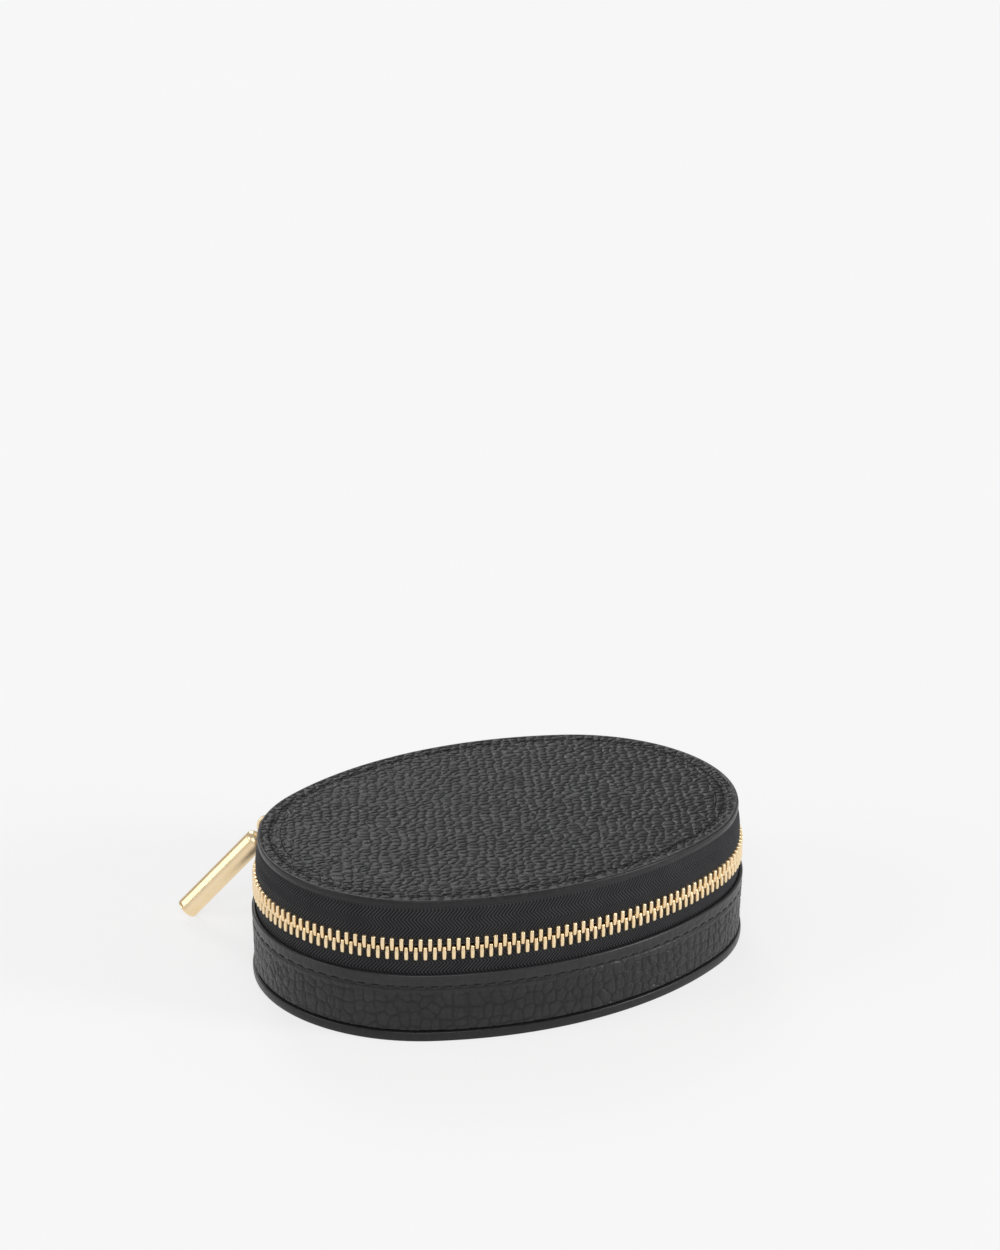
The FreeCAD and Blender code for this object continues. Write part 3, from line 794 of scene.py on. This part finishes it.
def make_teeth():
    count = int((CHAIN_END - CHAIN_START) / TOOTH_PITCH)
    rows = (("lower_teeth_row", "base", "lower_zip_teeth", True, 0.0),
            ("upper_teeth_row", "lid", "upper_zip_teeth", False, 0.5))
    for name, body, cad, up, phase in rows:
        shape, quads = tooth_shape(up)
        normals = normals_at(CHAIN_START + (np.arange(count) + phase) * TOOTH_PITCH)
        obj = repeated(name, shape, quads, normals, TAPE_MID, CHAIN_Z, GOLD_TEETH)
        add_piece(obj, body, "gold_metal", cad)


# ---- ring and bar ---------------------------------------------------------------------------
JOINTS = {j["name"]: j for j in frame["joints"]}
BAR_AXIS = Vector(JOINTS["bar_swing"]["axis"])
RING_MIDDLE = Vector(JOINTS["bar_swing"]["pos_m"]) / MM
RING_RADIUS, WIRE_RADIUS = 2.9, 0.55
BAR_RADIUS = 3.0
BAR_TOP, BAR_END = 3.7, 34.39
BAR_DIP = 47.76
BAR_SIDES = 160


def ring_frame():
    """Outwards, up and across directions of the ring's plane."""
    out = Vector((-BAR_AXIS.y, BAR_AXIS.x, 0)).normalized()
    if out.x > 0:
        out = -out
    return out, Vector((0, 0, 1)), out.cross(Vector((0, 0, 1)))


def make_ring():
    out, up, across = ring_frame()
    rounds, sides = 96, 24
    a = np.arange(rounds)[:, None] * 2 * np.pi / rounds
    b = np.arange(sides)[None] * 2 * np.pi / sides
    r = RING_RADIUS + WIRE_RADIUS * np.cos(b)
    h = WIRE_RADIUS * np.sin(b) + 0 * a
    u, v = r * np.cos(a), r * np.sin(a)
    points = (np.array(RING_MIDDLE) + u.reshape(-1, 1) * np.array(out)
              + v.reshape(-1, 1) * np.array(up) + h.reshape(-1, 1) * np.array(across))
    faces = grid_faces(rounds, sides, wrap_rows=True)
    obj = make_mesh("pull_wire_ring", points, [faces], [GOLD])
    add_piece(obj, "ring", "gold_metal", "pull_ring")


def bar_profile():
    """Distance along the bar and radius, from its dome to its flat lower end."""
    made = [(BAR_TOP + 0.02, 0.15)]
    for i in range(1, 13):
        a = math.pi / 2 * i / 12
        made.append((BAR_TOP + 2.1 * (1 - math.cos(a)), 0.15 + (BAR_RADIUS - 0.15) * math.sin(a)))
    start = BAR_TOP + 2.1
    made += [(start + (BAR_END - 0.5 - start) * i / 60, BAR_RADIUS) for i in range(1, 61)]
    for i in range(1, 6):
        a = math.pi / 2 * i / 5
        made.append((BAR_END - 0.3 + 0.3 * math.sin(a), BAR_RADIUS - 0.3 + 0.3 * math.cos(a)))
    made += [(BAR_END, 1.6), (BAR_END, 0.1)]
    return made


FLAT_TURN = 48.0            # the milled flat's direction, from facing front towards the top
FLAT_HALF = 0.85
FLAT_SINK = 0.16
FLAT_START, FLAT_STOP = BAR_TOP + 2.4, BAR_END - 0.9


def make_bar():
    out, up, across = ring_frame()
    dip = math.radians(BAR_DIP)
    along = out * math.cos(dip) - up * math.sin(dip)
    over = out * math.sin(dip) + up * math.cos(dip)
    front = along.cross(over) * -1
    if front.y > 0:
        front = -front
    profile = np.array(bar_profile())
    edge = math.asin(FLAT_HALF / BAR_RADIUS)
    spread = np.arange(BAR_SIDES) * 2 * np.pi / BAR_SIDES
    close = np.array([-edge - 0.012, -edge, edge, edge + 0.012])
    turns = np.sort(np.concatenate([spread, (math.radians(FLAT_TURN) + close) % (2 * np.pi)]))
    l, r = profile[:, :1] + 0 * turns, profile[:, 1:] + 0 * turns
    f, o = r * np.cos(turns), r * np.sin(turns)
    lean = math.radians(FLAT_TURN)
    n = f * math.cos(lean) + o * math.sin(lean)
    side = -f * math.sin(lean) + o * math.cos(lean)
    depth = math.sqrt(BAR_RADIUS ** 2 - FLAT_HALF ** 2) - FLAT_SINK
    inside = (np.abs(side) <= FLAT_HALF + 1e-6) & (n > 0) & (l > FLAT_START) & (l < FLAT_STOP)
    n = np.where(inside, np.minimum(n, depth), n)
    f = n * math.cos(lean) - side * math.sin(lean)
    o = n * math.sin(lean) + side * math.cos(lean)
    points = (np.array(RING_MIDDLE) + l.reshape(-1, 1) * np.array(along)
              + f.reshape(-1, 1) * np.array(front) + o.reshape(-1, 1) * np.array(over))
    obj = make_mesh("round_pull_bar", points, tube_faces(len(profile), len(turns)), [GOLD])
    obj.data.set_sharp_from_angle(angle=math.radians(11))
    add_piece(obj, "bar", "gold_metal", "pull_bar")
    make_eye(along, over, front)


def make_eye(along, over, front):
    """The small eye on the bar's dome that the ring's wire runs through."""
    rounds, sides = 40, 16
    a = np.arange(rounds)[:, None] * 2 * np.pi / rounds
    b = np.arange(sides)[None] * 2 * np.pi / sides
    c, s = np.cos(b), np.sin(b)
    r = 0.92 + 0.19 * np.sign(c) * np.abs(c) ** 0.6
    h = 0.6 * np.sign(s) * np.abs(s) ** 0.6 + 0 * a
    stretch = np.where(np.cos(a) > 0, 1.25, 1.0)
    u, v = RING_RADIUS + r * np.cos(a) * stretch, r * np.sin(a)
    points = (np.array(RING_MIDDLE) + u.reshape(-1, 1) * np.array(along)
              + v.reshape(-1, 1) * np.array(front) + h.reshape(-1, 1) * np.array(over))
    obj = make_mesh("pull_bar_eye", points, [grid_faces(rounds, sides, wrap_rows=True)], [GOLD])
    add_piece(obj, "bar", "gold_metal")


# ---- hinge strap and lining at the back -------------------------------------------------------
def strap_piece(name, half, low, high, inner, thick, step, relief, material, lean):
    """A closed curved patch at the back, bent in above the tape's lean by lean."""
    reach = math.degrees(math.asin(half / (SIDE_R + inner)))
    cols = round(2 * half / step)
    rows = round((high - low) / step)
    normal = np.linspace(90 - reach, 90 + reach, cols + 1)
    z = np.linspace(low, high, rows + 1)
    nn, zz = np.meshgrid(normal, z)
    shift = lean * np.clip((zz - LEAN_Z) / (LID_UNDER - LEAN_Z), 0, 1)
    rim = np.minimum(np.minimum(zz - low, high - zz),
                     np.minimum(nn - normal[0], normal[-1] - nn) * math.radians(1) * SIDE_R)
    round_off = 0.45 * (1 - np.sqrt(np.clip(1 - (1 - np.clip(rim / 0.5, 0, 1)) ** 2, 0, 1)))
    along = np.radians(nn - 90) * SIDE_R + 40
    lift = relief(along, zz, rim)
    ox, oy = oval(nn, inner + thick + shift - round_off * thick + lift)
    ix, iy = oval(nn, inner + shift)
    outer = np.stack([ox, oy, zz], -1).reshape(-1, 3)
    inside = np.stack([ix, iy, zz], -1).reshape(-1, 3)
    size = cols + 1
    count = len(outer)
    faces = [grid_faces(rows + 1, size, wrap_cols=False, flip=True),
             grid_faces(rows + 1, size, wrap_cols=False, first=count)]
    border = np.concatenate([np.arange(size), size * np.arange(1, rows + 1) + cols,
                             rows * size + np.arange(cols - 1, -1, -1),
                             size * np.arange(rows - 1, 0, -1)])
    after = np.roll(border, -1)
    faces.append(np.stack([border, after, after + count, border + count], 1))
    painted_light_share = np.concatenate([painted_light_share_of(lift).ravel(), np.ones(count)])
    return make_mesh(name, np.concatenate([outer, inside]), faces, [material], painted_light_share=painted_light_share)


def bend_at_hinge(obj):
    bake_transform(obj)


def make_hinge():
    def strap_relief(along, z, rim):
        grain = pebbles(along, z, 2.6, 2.9, 41) - 1
        return grain * 0.16 * smoothstep(rim / 1.2) + trough(z - (WALL_TOP + 1.9), 0.6, 0.2)

    def nap(along, z, rim):
        return 0.04 * (smooth_noise(along / 0.9, z / 0.9, 9) - 1)

    strap = strap_piece("hinge_leather_strap", HINGE_HALF, WALL_TOP + 0.05, LID_UNDER - 0.1, STRAP_IN,
                        STRAP, 0.35, strap_relief, WALL_SKIN, LID_TAPE_IN - TAPE_IN)
    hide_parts("hinge_strap")
    bend_at_hinge(strap)
    lining = strap_piece("hinge_suede_strip", HINGE_HALF - 1, WALL_TOP + 1.0, LID_LINING_LOW - 0.1,
                         TAPE_IN - 0.06, -0.55, 0.5, nap, SUEDE, LID_TAPE_IN - TAPE_IN)
    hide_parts("hinge_lining")
    bend_at_hinge(lining)
    reach = strap_edge() - 90 - 1.2
    out = STRAP_IN + STRAP - 0.12
    for name, cad, span in (("strap_stitches_left", ("hinge_stitching",), (90.0, 90 + reach)),
                            ("strap_stitches_right", (), (450 - reach, 450.0))):
        stitch_row(name, "base", "thread", cad, out, WALL_TOP + 1.9, 3.7, 2.7, False, span)


# ---- linings --------------------------------------------------------------------------------
LINING_DISC = 160
NAP_RINGS = 15              # even rings over the edge zone
NAP_STEP = 0.4


def make_linings():
    def nap(x, y, offset):
        cushion = 0.14 * smoothstep((-1.2 - offset) / 9)
        return cushion + 0.05 * (smooth_noise(x / 2.2, y / 2.2, 7) - 1) - 0.16

    edge = WALL_LINING_IN - 0.02
    floor_rings = [(edge - EDGE_ZONE + NAP_STEP * i, FLOOR_TOP, 1, 0) for i in range(NAP_RINGS)]
    floor_rings += [(edge, FLOOR_TOP - 0.4, 0, 0),
                   (edge, FLOOR_TOP - LINING, 0, 0), (edge - 3, FLOOR_TOP - LINING, 0, 0)]
    obj = panel("floor_suede", LINING_DISC, floor_rings, nap, [SUEDE])
    add_piece(obj, "base", "suede_lining", "base_lining")

    rim = -1.3
    under = LID_LINING_LOW
    lid_rings = [(rim - EDGE_ZONE + NAP_STEP * i, under, -1, 0) for i in range(NAP_RINGS)]
    lid_rings += [(rim, under + 0.3, 0, 0),
                 (rim, under + LINING, 0, 0), (rim - 3, under + LINING, 0, 0)]
    obj = panel("lid_suede", LINING_DISC, lid_rings, nap, [SUEDE], up=-1)
    add_piece(obj, "lid", "suede_lining", "lid_lining")

    def wall_nap(along, z, offset):
        soft = smooth_noise(along / PERIMETER * 300, z / 1.3, 13, 300)
        return -0.06 * soft

    top = WALL_TOP + 0.9
    inner = straight((WALL_LINING_IN, top - 0.3), (WALL_LINING_IN, FLOOR_TOP), 0.8)
    roll = arc_points(WALL_LINING_IN + 0.3, top - 0.3, 0.3, 90, 180, 4)[:-1]
    profile = [(-0.1, top - 0.5, 0, 0), (-0.12, top - 0.02, 0, 0)] + [(o, z, 0, 0) for o, z in roll]
    profile += [(o, z, -1, 0) for o, z in inner]
    profile += [(WALL_LINING_IN, FLOOR_TOP, 0, 0), (-0.8, FLOOR_TOP, 0, 0), (-0.8, top - 0.6, 0, 0)]
    obj = loop_piece("wall_suede", profile[::-1], 700, wall_nap, [SUEDE])
    add_piece(obj, "base", "suede_lining", "wall_lining")


# ---- frame parts whose shape is right --------------------------------------------------------
def dress(name, material, bevel=0.0):
    obj = frame["nodes"][name]
    obj.data.materials.clear()
    obj.data.materials.append(material)
    if bevel:
        rounded = obj.modifiers.new("rounded_edges", "BEVEL")
        rounded.width = bevel * MM
        rounded.segments = 3
        rounded.limit_method = "ANGLE"
        rounded.angle_limit = math.radians(40)


def dress_frame_parts():
    for name in ("base_board", "wall_board", "lid_board"):
        dress(name, FIBRE_BOARD)
    dress("slider_body", GOLD, 0.14)
    for name in ("lower_zip_stop", "upper_zip_stop", "bottom_stop"):
        dress(name, GOLD_TEETH, 0.15)


# ---- staging --------------------------------------------------------------------------------
VIEW_TURN = 31.0            # the purse is turned this far from the camera's line
CAMERA_BACK, CAMERA_UP, CAMERA_SIDE = 854.34, 413.38, -0.62
CAMERA_PITCH = 20.61
CAMERA_ROLL = 0.447
LENS = 100.8


def turned(x, y, z):
    """From the camera's square frame to the object's, in metres."""
    a = -math.radians(VIEW_TURN)
    c, s = math.cos(a), math.sin(a)
    return Vector((c * x - s * y, s * x + c * y, z)) * MM


def make_camera():
    data = bpy.data.cameras.new("camera")
    data.lens = LENS
    data.sensor_width = 36.0
    data.clip_start, data.clip_end = 0.01, 20.0
    obj = bpy.data.objects.new("camera", data)
    bpy.context.scene.collection.objects.link(obj)
    obj.location = turned(CAMERA_SIDE, -CAMERA_BACK, CAMERA_UP)
    aim = Euler((math.radians(90 - CAMERA_PITCH), 0, -math.radians(VIEW_TURN))).to_matrix()
    obj.rotation_euler = (aim @ Matrix.Rotation(math.radians(CAMERA_ROLL), 3, "Z")).to_euler()
    bpy.context.scene.camera = obj


def make_floor():
    half = 4.0
    points = np.array([[-half, -half, 0], [half, -half, 0], [half, half, 0], [-half, half, 0]]) / MM
    floor = make_mesh("pale_floor", points, [np.array([[0, 1, 2, 3]])], [floor_material()], None, False)


def make_world():
    world = bpy.data.worlds.new("studio")
    world.use_nodes = True
    world.node_tree.nodes["Background"].inputs["Color"].default_value = (1, 1, 1, 1)
    world.node_tree.nodes["Background"].inputs["Strength"].default_value = 0.42
    bpy.context.scene.world = world


def soft_sun(name, heading, height, spread, power):
    """A distant softbox; heading is its direction seen from the camera's line, 0 straight behind."""
    data = bpy.data.lights.new(name, "SUN")
    data.energy = power
    data.angle = math.radians(spread)
    obj = bpy.data.objects.new(name, data)
    bpy.context.scene.collection.objects.link(obj)
    h, v = math.radians(heading), math.radians(height)
    towards = turned(math.sin(h) * math.cos(v), math.cos(h) * math.cos(v), math.sin(v))
    obj.rotation_euler = towards.to_track_quat("Z", "Y").to_euler()


def stage():
    make_camera()
    make_floor()
    make_world()
    soft_sun("back_softbox", -12, 36, 20, 0.6)
    soft_sun("left_softbox", -108, 24, 26, 0.68)
    soft_sun("right_softbox", 104, 16, 18, 1.6)
    soft_sun("front_softbox", 178, 40, 34, 1.0)
    bpy.context.scene.view_settings.view_transform = "Standard"


SOLE_PITCH = 3.7
SOLE_THREAD = 2.8


def sole_stitches():
    """The base's stitches lie under the panel, so they are made face up and turned over."""
    count = round(PERIMETER / SOLE_PITCH)
    places = (np.arange(count) + 0.5) * PERIMETER / count
    shape = thread_shape(SOLE_THREAD, True) * np.array([1, -1, -1])
    obj = repeated("sole_stitches", shape, tube_faces(THREAD_RINGS, THREAD_SIDES),
                   normals_at(places), SOLE_STITCH_IN, 0.3, THREAD)
    add_piece(obj, "base", "thread", "base_stitching")


# ---- making -----------------------------------------------------------------------------------
stage()
make_lid_panel()
make_base_panel()
make_base_wall()
make_lower_tape()
make_upper_tape()
stitch_row("lid_stitches", "lid", "thread", ("lid_stitching",), LID_STITCH_IN, HEIGHT - 0.36,
           3.3, 2.5, True)
stitch_row("wall_stitches", "base", "thread", ("wall_stitching",), wall_slope(WALL_STITCH_Z) - 0.26,
           WALL_STITCH_Z, 3.7, 2.8, False, seed=4)
make_teeth()
make_ring()
make_bar()
make_hinge()
make_linings()
dress_frame_parts()
sole_stitches()
bpy.context.view_layer.update()
